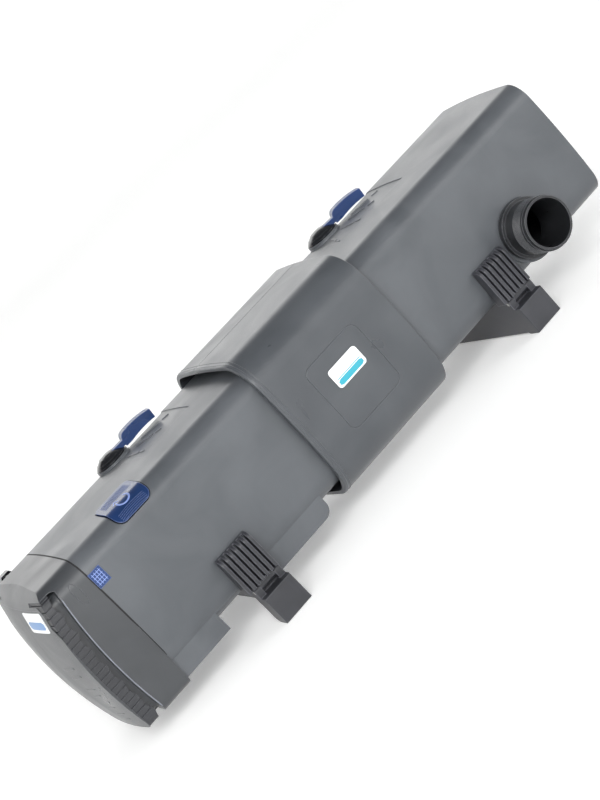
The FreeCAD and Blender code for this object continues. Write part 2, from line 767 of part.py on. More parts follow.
def skin(depth, inside=0.0):
    """The head's outer layer between two depths."""
    return head_form(-inside).cut(head_form(-depth))


def around_head(depth):
    """The space round the head, and the head's outer layer down to a depth."""
    space = box(-head_length - 20, 20, -body_half_depth - 20, body_half_depth + 20,
                head_low - 20, body_high + 20)
    return space.cut(head_form(-depth))


def both_sides(limit):
    """Front and back of the head, beyond `limit` from the middle plane."""
    return box(-200, 50, -far, -limit, -far, far).fuse(box(-200, 50, limit, far, -far, far))


def head_shell():
    """The head's cover: front band, pull recess on both sides, open towards the vessel."""
    recess = around_head(grip_depth).common(grip_band(grip_groove_inner, grip_groove_radius))
    recess = recess.common(both_sides(grip_wrap)).common(grip_limit()).cut(panel_window(-panel_rim))
    end_wall = panel_thickness + head_wall
    shallow = head_section(-22, 1, -head_wall)
    deep = head_section(-head_length, -21, -grip_depth - head_wall).common(head_end(-end_wall))
    shell = head_form().cut(recess).cut(shallow).cut(deep)
    shell = shell.cut(around_head(panel_thickness).common(panel_window(0.0)))
    return shell.cut(panel_window(panel_lip)).cut(gland_hole())


def grip_strip(side):
    """The ribbed rubber strip in the pull recess, with finger waves along one edge."""
    strip = skin(grip_depth, grip_strip_low).common(grip_band(grip_strip_edge, grip_strip_radius))
    strip = strip.common(box(-200, 50, -far, -grip_wrap - slide_gap, -far, far))
    strip = strip.common(grip_limit()).cut(panel_window(-panel_rim))
    half = math.ceil(body_height / grip_wave_pitch / 2) + 1
    for number in range(-half, half + 1):
        z = head_mid_z + number * grip_wave_pitch
        edge = -grip_strip_edge + (z - head_mid_z) ** 2 / (2 * grip_strip_radius)
        x = edge + grip_wave_radius - grip_wave_depth
        strip = strip.cut(rod(grip_wave_radius, (x, -far, z), (x, 0, z)))
    grooves = []
    count = int(body_height / grip_rib_pitch) + 2
    for offset in spread(count, grip_rib_pitch):
        z = axis_z + offset
        grooves.append(box(-100, 0, -far, -body_half_depth * 0.6, z, z + grip_rib_gap))
    lines = Part.makeCompound(grooves).common(around_head(grip_strip_low + grip_rib_depth))
    strip = max(strip.cut(lines).Solids, key=lambda solid: solid.Volume)
    return strip if side < 0 else mirror_y(strip)


def end_panel():
    """The curved panel let into the head's end."""
    return skin(panel_thickness).common(panel_window(0.0))


def head_label():
    """A blank plate on the end panel."""
    top = body_high - panel_top_margin - 2
    patch = box(-head_length - 10, -head_length / 2, -80, -24, top - 22, top)
    patch = patch.makeFillet(3.0, edges_where(patch, lambda e: runs_along(e, (1, 0, 0))))
    proud = head_form()
    proud.translate(Vector(-0.6, 0, 0))
    return proud.cut(head_form()).common(patch)


gland_x = -27.0
gland_z = axis_z + 65.0


def gland_hole():
    return rod(8.0, (gland_x, body_half_depth - 22, gland_z), (gland_x, far, gland_z))


def cable_gland():
    """The cable inlet on the head's back, with its own nut."""
    seat = body_half_depth - 4.0
    barrel = rod(8.0, (gland_x, seat - 14, gland_z), (gland_x, seat, gland_z))
    nut = rod(10.5, (gland_x, seat + 5, gland_z), (gland_x, seat + 17, gland_z))
    neck = rod(8.0, (gland_x, seat, gland_z), (gland_x, seat + 6, gland_z))
    gland = join([barrel, neck, nut])
    for number in range(6):
        flat = box(-20, 20, seat + 5, seat + 17, 9.4, 20)
        flat.rotate(Vector(0, 0, 0), Vector(0, 1, 0), 60 * number)
        flat.translate(Vector(gland_x, 0, gland_z))
        gland = gland.cut(flat)
    return gland.cut(rod(4.0, (gland_x, seat - 30, gland_z), (gland_x, seat + 30, gland_z)))


carrier_plug_length = 26.0


def lamp_carrier():
    """The bulkhead that closes the vessel's mouth and holds the quartz tube."""
    plate = head_section(-6, -2, -head_wall)
    plug = body_form(-2, carrier_plug_length, -wall - slide_gap)
    hollow = body_form(2, carrier_plug_length + 1, -wall - slide_gap - 5)
    collar = rod(quartz_radius + 8, (-14, 0, axis_z), (carrier_plug_length, 0, axis_z))
    carrier = join([plate, plug.cut(hollow), collar])
    groove = body_form(10, 16, -wall + 1).cut(body_form(9, 17, -wall - slide_gap - 2.2))
    carrier = carrier.cut(groove)
    carrier = carrier.cut(rod(quartz_radius + 0.2, (-20, 0, axis_z), (60, 0, axis_z)))
    return carrier.cut(rod(quartz_radius + 3, (-20, 0, axis_z), (-4, 0, axis_z)))


def head_seal():
    """The square ring that seals the head in the vessel's mouth."""
    return body_form(10.2, 15.8, -wall - 0.1).cut(body_form(9, 17, -wall - slide_gap - 2.2))


def quartz_seal():
    return ring(quartz_radius + 3, quartz_radius + 0.0, (-8, 0, axis_z), (-4, 0, axis_z))


def quartz_clamp():
    """The screwed ring that presses the quartz tube's seal."""
    clamp = ring(quartz_radius + 3, quartz_radius + 0.2, (-16, 0, axis_z), (-8, 0, axis_z))
    rim = ring(quartz_radius + 8, quartz_radius + 0.2, (-18, 0, axis_z), (-14, 0, axis_z))
    clamp = clamp.fuse(rim).removeSplitter()
    for number in range(4):
        slot = box(-19, -16, quartz_radius + 5, quartz_radius + 12, -3, 3)
        slot.rotate(Vector(0, 0, 0), Vector(1, 0, 0), 90 * number + 45)
        slot.translate(Vector(0, 0, axis_z))
        clamp = clamp.cut(slot)
    return clamp


def quartz_tube():
    """The quartz tube with its domed far end."""
    end = quartz_start + quartz_length
    outer = rod(quartz_radius, (quartz_start, 0, axis_z), (end, 0, axis_z)).fuse(
        Part.makeSphere(quartz_radius, Vector(end, 0, axis_z)))
    inner_radius = quartz_radius - quartz_wall
    inner = rod(inner_radius, (quartz_start - 1, 0, axis_z), (end, 0, axis_z)).fuse(
        Part.makeSphere(inner_radius, Vector(end, 0, axis_z)))
    return outer.cut(inner).removeSplitter()


lamp_x = quartz_start + 24.0


def lamp_tubes():
    """The two parallel tubes of the lamp, bridged at the far end."""
    offset = lamp_tube_radius + lamp_tube_gap / 2 - 0.6
    radius = min(lamp_tube_radius, quartz_radius - quartz_wall - offset - 0.6)
    end = quartz_start + lamp_length
    tubes = [rod(radius, (lamp_x, side * offset, axis_z), (end, side * offset, axis_z))
             for side in (-1, 1)]
    bridge = rod(radius * 0.5, (end - 8, -offset, axis_z), (end - 8, offset, axis_z))
    return join(tubes + [bridge])


def lamp_base():
    """The lamp's plastic base with its four contact pins."""
    base = rod(quartz_radius - quartz_wall - 1.0, (lamp_x - 22, 0, axis_z), (lamp_x, 0, axis_z))
    base = base.common(box(lamp_x - 30, lamp_x, -far, far, axis_z - 11, axis_z + 11))
    pins = [rod(1.2, (lamp_x - 30, y, axis_z), (lamp_x - 22, y, axis_z)) for y in spread(4, 7.5)]
    return join([base] + pins)


def lamp_socket():
    """The socket in the head that the lamp plugs into."""
    x = lamp_x - 22
    block = box(x - 16, x, -17, 17, axis_z - 12, axis_z + 12)
    for y in spread(4, 7.5):
        block = block.cut(rod(1.2, (x - 8, y, axis_z), (x + 1, y, axis_z)))
    return block


def ballast():
    """The electronic ballast, in its own sealed box above the socket."""
    block = box(-46, -10, -54, 54, axis_z + 34, axis_z + 60)
    return block.makeFillet(2.0, block.Edges)


def ballast_screws():
    screws = []
    for y in (-46.0, 46.0):
        shank = rod(1.7, (-10, y, axis_z + 40), (-6, y, axis_z + 40))
        screws.append(shank)
    return Part.makeCompound(screws)


def terminal_block():
    block = box(-50, -34, 30, 62, axis_z + 10, axis_z + 24)
    holes = [rod(1.8, (-51, 34 + 8 * k, axis_z + 17), (-40, 34 + 8 * k, axis_z + 17))
             for k in range(4)]
    for hole in holes:
        block = block.cut(hole)
    return block


def safety_switch():
    """The switch that cuts the lamp's supply when the head is drawn."""
    return box(-24, -8, -60, -34, axis_z + 10, axis_z + 22).fuse(
        box(-8, -6, -50, -44, axis_z + 13, axis_z + 19)).removeSplitter()


# ---- cleaning rotor -----------------------------------------------------------------------------
def rotor_bearing(x):
    """A spider fixed in the vessel that carries one end of the cleaning rotor."""
    width = rotor_ring_width - 2
    outer = rotor_journal_radius + 7
    arms = box(x, x + width, -far, far, axis_z - 4, axis_z + 4).fuse(
        box(x, x + width, -4, 4, -far, far)).common(body_form(x - 1, x + width + 1, -wall))
    spider = join([arms, rod(outer, (x, 0, axis_z), (x + width, 0, axis_z))])
    return spider.cut(rod(rotor_journal_radius + running_fit, (x - 1, 0, axis_z),
                          (x + width + 1, 0, axis_z)))


def cleaning_rotor():
    """Turbine wheel, two long wiper arms and a ring at each end, turning on the spiders."""
    inner = quartz_radius + 1.5
    journals = [(rotor_start - 1, rotor_start - 1 + rotor_ring_width),
                (rotor_end - rotor_ring_width - 1, rotor_end - 1)]
    wheel_x = rotor_start + rotor_ring_width + 4
    wheel_end = wheel_x + rotor_blade_width
    pieces = [rod(rotor_journal_radius, (a, 0, axis_z), (b, 0, axis_z)) for a, b in journals]
    pieces.append(rod(inner + 5, (journals[0][1] - 2, 0, axis_z), (wheel_end, 0, axis_z)))
    bar = rod(inner + 3.5, (wheel_end - 4, 0, axis_z), (journals[1][0] + 2, 0, axis_z))
    pieces.append(bar.common(box(wheel_end - 4, journals[1][0] + 2, -6, 6, axis_z - 60, axis_z + 60)))
    middle = Vector((wheel_x + wheel_end) / 2, 0, 0)
    for number in range(rotor_blades):
        blade = box(wheel_x - 9, wheel_end + 9, -1.2, 1.2, inner + 1, rotor_blade_radius)
        blade.rotate(middle, Vector(0, 0, 1), 32)
        blade = blade.common(box(wheel_x + 1, wheel_end - 1, -60, 60, 0, 90))
        blade.rotate(Vector(0, 0, 0), Vector(1, 0, 0), 360.0 * number / rotor_blades)
        blade.translate(Vector(0, 0, axis_z))
        pieces.append(blade)
    bore = rod(inner, (rotor_start - 5, 0, axis_z), (rotor_end + 5, 0, axis_z))
    return pieces[0].multiFuse(pieces[1:]).cut(bore)


def wiper_strips():
    """The two soft strips that brush the quartz tube."""
    start = rotor_start + rotor_ring_width + 4 + rotor_blade_width + 2
    end = rotor_end - rotor_ring_width - 2
    tube = ring(quartz_radius + 1.5, quartz_radius + slide_gap, (start, 0, axis_z), (end, 0, axis_z))
    return tube.common(box(start, end, -3, 3, axis_z - 60, axis_z + 60))


# ---- write every piece --------------------------------------------------------------------------
parts = {
    "housing_left": housing_left(),
    "housing_right": housing_right(),
    "joint_gasket": joint_gasket(),
    "flange_screws": flange_screws(),
    "flange_nuts": flange_nuts(),
    "centre_sleeve": centre_sleeve(),
    "front_label": front_label(),
    "outlet_nozzle": nozzle(nozzle_x, -1),
    "inlet_nozzle": nozzle(inlet_x, 1),
    "outlet_seal": port_seal(nozzle_x, -1),
    "inlet_seal": port_seal(inlet_x, 1),
    "position_mark": position_mark(),
    "release_button": release_button(),
    "button_spring": button_spring(),
    "head_shell": head_shell(),
    "end_panel": end_panel(),
    "head_label": head_label(),
    "grip_strip_front": grip_strip(-1),
    "grip_strip_rear": grip_strip(1),
    "lamp_carrier": lamp_carrier(),
    "head_seal": head_seal(),
    "quartz_tube": quartz_tube(),
    "quartz_seal": quartz_seal(),
    "quartz_clamp_ring": quartz_clamp(),
    "uvc_lamp_tubes": lamp_tubes(),
    "uvc_lamp_base": lamp_base(),
    "lamp_socket": lamp_socket(),
    "ballast": ballast(),
    "ballast_screws": ballast_screws(),
    "terminal_block": terminal_block(),
    "safety_switch": safety_switch(),
    "cable_gland": cable_gland(),
    "cleaning_rotor": cleaning_rotor(),
    "wiper_strips": wiper_strips(),
    "rotor_bearing_head_end": rotor_bearing(rotor_start),
    "rotor_bearing_far_end": rotor_bearing(rotor_end - rotor_ring_width),
}
for name, x, rest in (("left", lever_left_x, lever_left_rest), ("right", lever_right_x, lever_right_rest)):
    for piece, shape in (("lever_hub", lever_hub(x)), ("lever_handle", lever_handle(x)),
                         ("lever_spindle", lever_spindle(x)), ("bypass_flap", bypass_flap(x))):
        parts[f"{piece}_{name}"] = turned(shape, x, rest)
    parts[f"spindle_seal_{name}"] = spindle_seal(x)
for name, x, saddle_low in (("left", foot_left_x, body_low - keel_drop + 2),
                            ("right", foot_right_x, 2.0)):
    parts[f"foot_bracket_{name}"] = foot_bracket(x, saddle_low)
    parts[f"hinge_pins_{name}"] = hinge_pins(x)
    parts[f"foot_clip_{name}_front"] = foot_clip(x, -1)
    parts[f"foot_clip_{name}_rear"] = foot_clip(x, 1)

for name, shape in parts.items():
    export(name, shape)
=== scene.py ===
import json
import math

import bmesh
import bpy
from mathutils import Matrix, Vector


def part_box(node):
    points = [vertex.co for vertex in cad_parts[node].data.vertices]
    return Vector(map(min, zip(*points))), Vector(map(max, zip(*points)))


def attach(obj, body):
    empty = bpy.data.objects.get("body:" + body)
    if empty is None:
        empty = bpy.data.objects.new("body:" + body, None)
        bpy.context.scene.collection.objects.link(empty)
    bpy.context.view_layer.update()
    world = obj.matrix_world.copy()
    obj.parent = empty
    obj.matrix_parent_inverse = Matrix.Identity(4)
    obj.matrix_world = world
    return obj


# Looks for the pond UV clarifier: moulded plastics, rubber, glass and steel on the CAD pieces, and
# the fine raised and printed detail that lies on them. Metres, +Z up, -Y is the front.

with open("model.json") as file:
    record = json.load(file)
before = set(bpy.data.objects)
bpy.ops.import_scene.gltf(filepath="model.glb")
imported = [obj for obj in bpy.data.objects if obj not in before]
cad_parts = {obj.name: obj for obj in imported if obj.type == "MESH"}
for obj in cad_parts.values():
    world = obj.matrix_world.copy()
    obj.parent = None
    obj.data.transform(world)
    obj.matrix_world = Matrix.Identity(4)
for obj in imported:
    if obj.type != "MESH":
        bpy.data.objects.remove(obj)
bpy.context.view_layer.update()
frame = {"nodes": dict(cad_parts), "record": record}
mm = 0.001

# ---- places read from the frame -----------------------------------------------------------------
sleeve_low, sleeve_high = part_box("centre_sleeve")
button_low, button_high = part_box("release_button")
mark_low, mark_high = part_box("position_mark")
label_low, label_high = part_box("front_label")
badge_low, badge_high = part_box("head_label")
quartz_low, quartz_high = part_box("quartz_tube")
up = Vector((0, 0, 1))
inwards = Vector((0, 1, 0))      # from the front towards the middle
from_end = Vector((1, 0, 0))     # from the head's end towards the vessel
axis_z = (quartz_low.z + quartz_high.z) / 2
joint_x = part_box("housing_left")[0].x
reach = 0.4                      # rays start this far outside the object
clear_side = 300                 # the same in millimetres, for places counted from the joint
clear_end = -200


# ---- materials ----------------------------------------------------------------------------------
def linear(colour):
    """An sRGB hex colour as linear red, green, blue and alpha."""
    parts = [int(colour[i:i + 2], 16) / 255 for i in (1, 3, 5)]
    return tuple(c / 12.92 if c <= 0.04045 else ((c + 0.055) / 1.055) ** 2.4 for c in parts) + (1.0,)


def add(tree, kind, links=None, **settings):
    """Adds a node. A setting goes to the node's own property, or else to its socket of that name
    or, after an underscore, of that number."""
    node = tree.nodes.new("ShaderNode" + kind)
    for name, value in settings.items():
        if hasattr(node, name):
            setattr(node, name, value)
        else:
            key = int(name[1:]) if name[0] == "_" and name[1:].isdigit() else name.replace("_", " ")
            node.inputs[key].default_value = value
    for name, source in (links or {}).items():
        tree.links.new(source, node.inputs[name])
    return node


def new_material(name):
    """An empty material with its output, the object's own coordinates and a shader to fill in."""
    material = bpy.data.materials.new(name)
    material.use_nodes = True
    tree = material.node_tree
    tree.nodes.clear()
    place = add(tree, "TexCoord").outputs["Object"]
    return material, tree, place


def finish_material(tree, shader):
    output = add(tree, "OutputMaterial")
    tree.links.new(shader.outputs[0], output.inputs["Surface"])


def softened_edges(tree, radius):
    """Normals rounded over sharp edges, and a mask that is 1 on the edge itself."""
    soft = add(tree, "Bevel", samples=6, Radius=radius)
    true = add(tree, "NewGeometry")
    turn = add(tree, "VectorMath", {0: soft.outputs["Normal"], 1: true.outputs["Normal"]},
               operation="DOT_PRODUCT")
    mask = add(tree, "MapRange", {"Value": turn.outputs["Value"]}, From_Min=0.995, From_Max=0.82)
    return soft.outputs["Normal"], mask.outputs["Result"]


def moulded(name, colour, flow_colour, highlight_colour, roughness, grain, grain_depth, edge=0.9 * mm,
            ior=1.49, spread=0.07, highlight_share=0.55):
    """A moulded thermoplastic: mould grain, faint flow marks, and edges lightened by a painted
    highlight.
    Real mould grain is 0.2 to 0.4 mm and is drawn about four times as coarse, so that it shows."""
    material, tree, place = new_material(name)
    normal, on_edge = softened_edges(tree, edge)
    texture = add(tree, "TexNoise", {"Vector": place}, Scale=1 / grain, Detail=3.0, Roughness=0.62)
    flow = add(tree, "TexNoise", {"Vector": place}, Scale=1 / (70 * mm), Detail=5.0, Roughness=0.5,
               Distortion=0.6)
    flow_share = add(tree, "MapRange", {"Value": flow.outputs["Fac"]}, From_Min=0.35, From_Max=0.68)
    body = add(tree, "Mix", {"Factor": flow_share.outputs["Result"]}, data_type="RGBA",
               _6=linear(colour), _7=linear(flow_colour))
    # Painted highlight: the edge mask mixes a lighter colour into the plastic along its sharp edges.
    highlight_amount = add(tree, "Math", {0: on_edge}, operation="MULTIPLY", _1=highlight_share)
    highlighted = add(tree, "Mix", {"Factor": highlight_amount.outputs[0], 6: body.outputs[2]},
               data_type="RGBA", _7=linear(highlight_colour))
    sheen = add(tree, "MapRange", {"Value": flow.outputs["Fac"]}, From_Min=0.3, From_Max=0.7,
                To_Min=roughness - spread, To_Max=roughness + spread)
    bump = add(tree, "Bump", {"Height": texture.outputs["Fac"], "Normal": normal}, Strength=1.0,
               Distance=grain_depth)
    shader = add(tree, "BsdfPrincipled", {"Base Color": highlighted.outputs[2],
                                          "Roughness": sheen.outputs["Result"],
                                          "Normal": bump.outputs["Normal"]}, IOR=ior)
    finish_material(tree, shader)
    return material


def spark_textured_shell():
    """Glass-filled polypropylene from a spark-eroded mould: a dry satin grey that takes the light
    softly."""
    return moulded("spark_textured_polypropylene", "#4b4e52", "#55585c", "#7d8187", 0.36, 1.3 * mm,
                   0.055 * mm)


def spark_textured_sleeve():
    """The same plastic from its own mould, a shade darker and a little shinier."""
    return moulded("spark_textured_polypropylene_sleeve", "#44474b", "#4d5054", "#787c82", 0.33,
                   1.3 * mm, 0.05 * mm)


def satin_head():
    """ABS from a finer mould: smoother and darker than the vessel."""
    return moulded("satin_abs_head", "#36383b", "#3f4144", "#6c6f74", 0.34, 1.0 * mm, 0.035 * mm,
                   ior=1.53)


def satin_feet():
    """Polyamide feet and clips: dark, with edges that catch the light."""
    return moulded("satin_polyamide_feet", "#2b2c30", "#34353a", "#70717a", 0.40, 1.2 * mm,
                   0.05 * mm, edge=1.3 * mm, ior=1.53, highlight_share=0.7)


def turned_nozzle():
    """Black polypropylene nozzle, glossier where the mould core was polished."""
    return moulded("moulded_polypropylene_nozzle", "#202123", "#292a2d", "#6a6c71", 0.30, 1.1 * mm,
                   0.03 * mm, edge=1.0 * mm, highlight_share=0.75)


def blue_grips():
    """Through-dyed blue ABS for everything the user touches: half gloss, with a lavender painted
    highlight on the edges.
    """
    return moulded("dyed_blue_abs", "#122a52", "#18366a", "#7d8fc4", 0.27, 0.9 * mm, 0.02 * mm,
                   edge=1.1 * mm, ior=1.53, highlight_share=0.6)


def black_fittings():
    """Glossy black acetal: small fittings that mirror the lights in soft patches."""
    return moulded("gloss_black_acetal", "#0d0e12", "#15171c", "#3a3d45", 0.18, 2.5 * mm,
                   0.02 * mm, edge=0.6 * mm, ior=1.48, spread=0.04, highlight_share=0.25)


def rubber_seals():
    """Black EPDM seals: dead matt, with a dusty bloom."""
    return moulded("epdm_rubber", "#0f0f10", "#1c1c1e", "#2c2c2e", 0.78, 1.5 * mm, 0.06 * mm,
                   edge=0.5 * mm, ior=1.52)


def rubber_grip():
    """The thermoplastic rubber of the finger strip: dark and dry, with a painted highlight that lightens
    the edges of its ribs.
    """
    return moulded("thermoplastic_rubber_grip", "#2b2c2f", "#343539", "#5c5e64", 0.52, 1.2 * mm,
                   0.05 * mm, edge=0.6 * mm, ior=1.50)


def white_lamp_base():
    """White heat-proof PBT of the lamp's base and socket."""
    return moulded("white_pbt", "#d9d8d2", "#cfcec7", "#efeeea", 0.35, 1.2 * mm, 0.03 * mm,
                   edge=0.6 * mm, ior=1.57)


def grey_rotor():
    """Light grey acetal of the cleaning rotor, slightly yellowed by the lamp."""
    return moulded("light_grey_acetal", "#95968f", "#a3a299", "#c4c4bd", 0.33, 1.2 * mm, 0.03 * mm,
                   edge=0.6 * mm, ior=1.48)


def label_film():
    """White polyester label film under clear varnish: glossy over a faint paper-like unevenness."""
    material, tree, place = new_material("varnished_label_film")
    normal, _ = softened_edges(tree, 0.5 * mm)
    fibre = add(tree, "TexNoise", {"Vector": place}, Scale=1 / (1.6 * mm), Detail=4.0)
    tint = add(tree, "Mix", {"Factor": fibre.outputs["Fac"]}, data_type="RGBA",
               _6=linear("#e3e7ea"), _7=linear("#f2f3f2"))
    bump = add(tree, "Bump", {"Height": fibre.outputs["Fac"], "Normal": normal}, Distance=0.01 * mm)
    shader = add(tree, "BsdfPrincipled", {"Base Color": tint.outputs[2],
                                          "Normal": bump.outputs["Normal"]},
                 Roughness=0.3, IOR=1.5, Coat_Weight=0.6, Coat_Roughness=0.12)
    finish_material(tree, shader)
    return material


def printed_ink(name, colour, deeper):
    """Screen-printed ink on a label: flat colour with a fine uneven lay."""
    material, tree, place = new_material(name)
    lay = add(tree, "TexNoise", {"Vector": place}, Scale=1 / (1.2 * mm), Detail=3.0)
    tint = add(tree, "Mix", {"Factor": lay.outputs["Fac"]}, data_type="RGBA",
               _6=linear(colour), _7=linear(deeper))
    shader = add(tree, "BsdfPrincipled", {"Base Color": tint.outputs[2]}, Roughness=0.34,
                 Coat_Weight=0.5, Coat_Roughness=0.15)
    finish_material(tree, shader)
    return material


def clear_glass(name, tint, roughness, ior):
    """Clear drawn glass: faint draw lines along the tube, bent light, a cool edge."""
    material, tree, place = new_material(name)
    stretch = add(tree, "Mapping", {"Vector": place}, Scale=(1 / (60 * mm), 1 / (3 * mm), 1 / (3 * mm)))
    lines = add(tree, "TexNoise", {"Vector": stretch.outputs[0]}, Scale=1.0, Detail=2.0)
    bump = add(tree, "Bump", {"Height": lines.outputs["Fac"]}, Distance=0.03 * mm)
    haze = add(tree, "MapRange", {"Value": lines.outputs["Fac"]}, To_Min=roughness,
               To_Max=roughness + 0.05)
    shader = add(tree, "BsdfPrincipled", {"Normal": bump.outputs["Normal"],
                                          "Roughness": haze.outputs["Result"]},
                 Base_Color=linear(tint), IOR=ior, Transmission_Weight=0.94)
    finish_material(tree, shader)
    return material


def stainless_steel():
    """Turned stainless steel: fine tool lines round each screw, bright edges."""
    material, tree, place = new_material("turned_stainless_steel")
    normal, _ = softened_edges(tree, 0.4 * mm)
    stretch = add(tree, "Mapping", {"Vector": place}, Scale=(1 / (0.5 * mm), 1 / (6 * mm), 1 / (6 * mm)))
    lines = add(tree, "TexNoise", {"Vector": stretch.outputs[0]}, Scale=1.0, Detail=3.0)
    tint = add(tree, "Mix", {"Factor": lines.outputs["Fac"]}, data_type="RGBA",
               _6=linear("#b4b3ae"), _7=linear("#cfcec9"))
    matt = add(tree, "MapRange", {"Value": lines.outputs["Fac"]}, To_Min=0.2, To_Max=0.38)
    bump = add(tree, "Bump", {"Height": lines.outputs["Fac"], "Normal": normal}, Distance=0.01 * mm)
    shader = add(tree, "BsdfPrincipled", {"Base Color": tint.outputs[2],
                                          "Roughness": matt.outputs["Result"],
                                          "Normal": bump.outputs["Normal"]}, Metallic=1.0)
    finish_material(tree, shader)
    return material


finishes = {
    "vessel_plastic": spark_textured_shell(),
    "sleeve_plastic": spark_textured_sleeve(),
    "head_plastic": satin_head(),
    "foot_plastic": satin_feet(),
    "nozzle_plastic": turned_nozzle(),
    "blue_plastic": blue_grips(),
    "black_plastic": black_fittings(),
    "seal_rubber": rubber_seals(),
    "grip_rubber": rubber_grip(),
    "label_film": label_film(),
    "quartz": clear_glass("fused_quartz", "#f4fafb", 0.01, 1.458),
    "lamp_glass": clear_glass("soft_lamp_glass", "#e6eef0", 0.08, 1.50),
    "white_plastic": white_lamp_base(),
    "rotor_plastic": grey_rotor(),
    "stainless": stainless_steel(),
}
# The recess's lip is the head's ABS, coloured pale as a painted highlight: a thin pale line.
lip_highlight_plastic = moulded("abs_lip_painted_highlight", "#6d7078", "#787b84", "#a4a8b2", 0.26, 1.0 * mm, 0.02 * mm,
                      edge=0.5 * mm, ior=1.53)
# Raised lines on the blue ABS, coloured a paler lavender as a painted highlight.
pale_blue_highlight = moulded("blue_abs_painted_highlight", "#6f84bd", "#7c90c8", "#a9b6de", 0.3, 0.9 * mm, 0.02 * mm,
                    edge=0.5 * mm, ior=1.53)
teal_ink = printed_ink("teal_screen_ink", "#1d93a8", "#2aa3b6")
blue_ink = printed_ink("blue_screen_ink", "#2b6fae", "#3a80bd")


def dress_cad_nodes():
    """Gives every CAD node the finish of its material slot."""
    for part in frame["record"]["subparts"]:
        mesh = frame["nodes"][part["node"]].data
        mesh.materials.clear()
        mesh.materials.append(finishes[part["material_slot"]])


dress_cad_nodes()


# ---- shapes that lie on a CAD surface -----------------------------------------------------------
def surface(node, start, towards):
    """Where a straight line first meets a CAD node, and the surface's outward direction there."""
    hit, place, normal, _ = frame["nodes"][node].ray_cast(start, towards)
    if not hit:
        raise ValueError(f"the line from {tuple(start)} misses {node}")
    return place, normal


def keep(mesh, name, body, slot, material=None):
    """Turns a bmesh into a piece that rides on a body."""
    bmesh.ops.recalc_face_normals(mesh, faces=mesh.faces)
    data = bpy.data.meshes.new(name)
    mesh.to_mesh(data)
    mesh.free()
    piece = bpy.data.objects.new(name, data)
    bpy.context.scene.collection.objects.link(piece)
    data.materials.append(material or finishes[slot])
    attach(piece, body)
    return piece


def bead(mesh, points, width, height, closed=False, flat=0.0, sunk=0.3 * mm):
    """A raised line along points with their normals. Its ends taper off, and flat is the share of its
    width that is level on top."""
    across = [-1, -0.8, -0.45 - 0.3 * flat, 0, 0.45 + 0.3 * flat, 0.8, 1]
    lift = [0, 0.5, 0.9 + 0.1 * flat, 1, 0.9 + 0.1 * flat, 0.5, 0]
    count = len(points)
    rings = []
    for number, (place, normal) in enumerate(points):
        if closed:
            before, after = points[number - 1][0], points[(number + 1) % count][0]
        else:
            before, after = points[max(number - 1, 0)][0], points[min(number + 1, count - 1)][0]
        side = normal.cross(after - before).normalized()
        size = 1.0 if closed or 0 < number < count - 1 else 0.55
        ring = [mesh.verts.new(place + side * (a * width / 2 * size) + normal * (b * height * size))
                for a, b in zip(across, lift)]
        ring += [mesh.verts.new(place + side * (a * width / 2 * size) - normal * sunk)
                 for a in (1, -1)]
        rings.append(ring)
    last = count if closed else count - 1
    for number in range(last):
        one, two = rings[number], rings[(number + 1) % count]
        for k in range(len(one)):
            m = (k + 1) % len(one)
            mesh.faces.new((one[k], one[m], two[m], two[k]))
    if not closed:
        mesh.faces.new(rings[0])
        mesh.faces.new(rings[-1][::-1])


def line_on(node, start, end, towards, steps):
    """Points along a straight line, carried onto a CAD node."""
    return [surface(node, start.lerp(end, k / steps), towards) for k in range(steps + 1)]


def round_section(node, x, steps=160):
    """Points all round a CAD node's section at x, met from outside."""
    centre = Vector((x, 0, axis_z))
    points = []
    for number in range(steps):
        turn = 2 * math.pi * number / steps
        out = Vector((0, math.cos(turn), math.sin(turn)))
        place, normal = surface(node, centre + out * reach, -out)
        level = Vector((0, normal.y, normal.z)).normalized()
        points.append((place, level))
    return points


# ---- raised and printed detail ------------------------------------------------------------------
def at(x, y, z):
    """A place in millimetres, with x counted from the joint between head and vessel."""
    return Vector((joint_x + x * mm, y * mm, z * mm))


def around(first, last, steps):
    """Evenly spaced angles from first to last, both given in degrees."""
    return [math.radians(first + (last - first) * k / steps) for k in range(steps + 1)]


def joint_seam():
    """The dark rubber line between head and vessel, open below where the keel's rails start."""
    mesh = bmesh.new()
    centre = Vector((joint_x + 0.3 * mm, 0, axis_z))
    points = []
    for turn in around(-30, 210, 150):
        out = Vector((0, math.cos(turn), math.sin(turn)))
        place, normal = surface("housing_left", centre + out * reach, -out)
        points.append((place, Vector((0, normal.y, normal.z)).normalized()))
    bead(mesh, points, 1.8 * mm, 0.2 * mm)
    keep(mesh, "joint_seam", "vessel", "seal_rubber")


def sleeve_rims():
    """A rolled double lip at the sleeve's left rim and a dark joint line at its right end."""
    lip_height, joint_inset = 0.45 * mm, 0.7 * mm
    mesh = bmesh.new()
    for inset, width in ((3.2 * mm, 2.6 * mm), (7.4 * mm, 1.4 * mm)):
        points = round_section("centre_sleeve", sleeve_low.x + inset)
        bead(mesh, points, width, lip_height, closed=True)
    keep(mesh, "sleeve_rolled_lip", "vessel", "sleeve_plastic")
    mesh = bmesh.new()
    points = round_section("housing_right", sleeve_high.x + joint_inset)
    bead(mesh, points, 1.6 * mm, 0.15 * mm, closed=True)
    keep(mesh, "sleeve_joint_line", "vessel", "seal_rubber")


def recess_lips():
    """The thin lip along the vessel side of each pull recess, coloured pale as a painted highlight."""
    apex, radius, middle = -41.2, 432.0, 93.0
    low, pitch, count = 34.0, 2.6, 57
    for side, name in ((-1, "front"), (1, "rear")):
        mesh = bmesh.new()
        points = []
        for z in [low + step * pitch for step in range(count)]:
            x = apex + (z - middle) ** 2 / (2 * radius)
            points.append(surface("head_shell", at(x, side * clear_side, z), -side * inwards))
        bead(mesh, points, 1.3 * mm, 0.4 * mm)
        keep(mesh, f"recess_lip_{name}", "head", "head_plastic", lip_highlight_plastic)


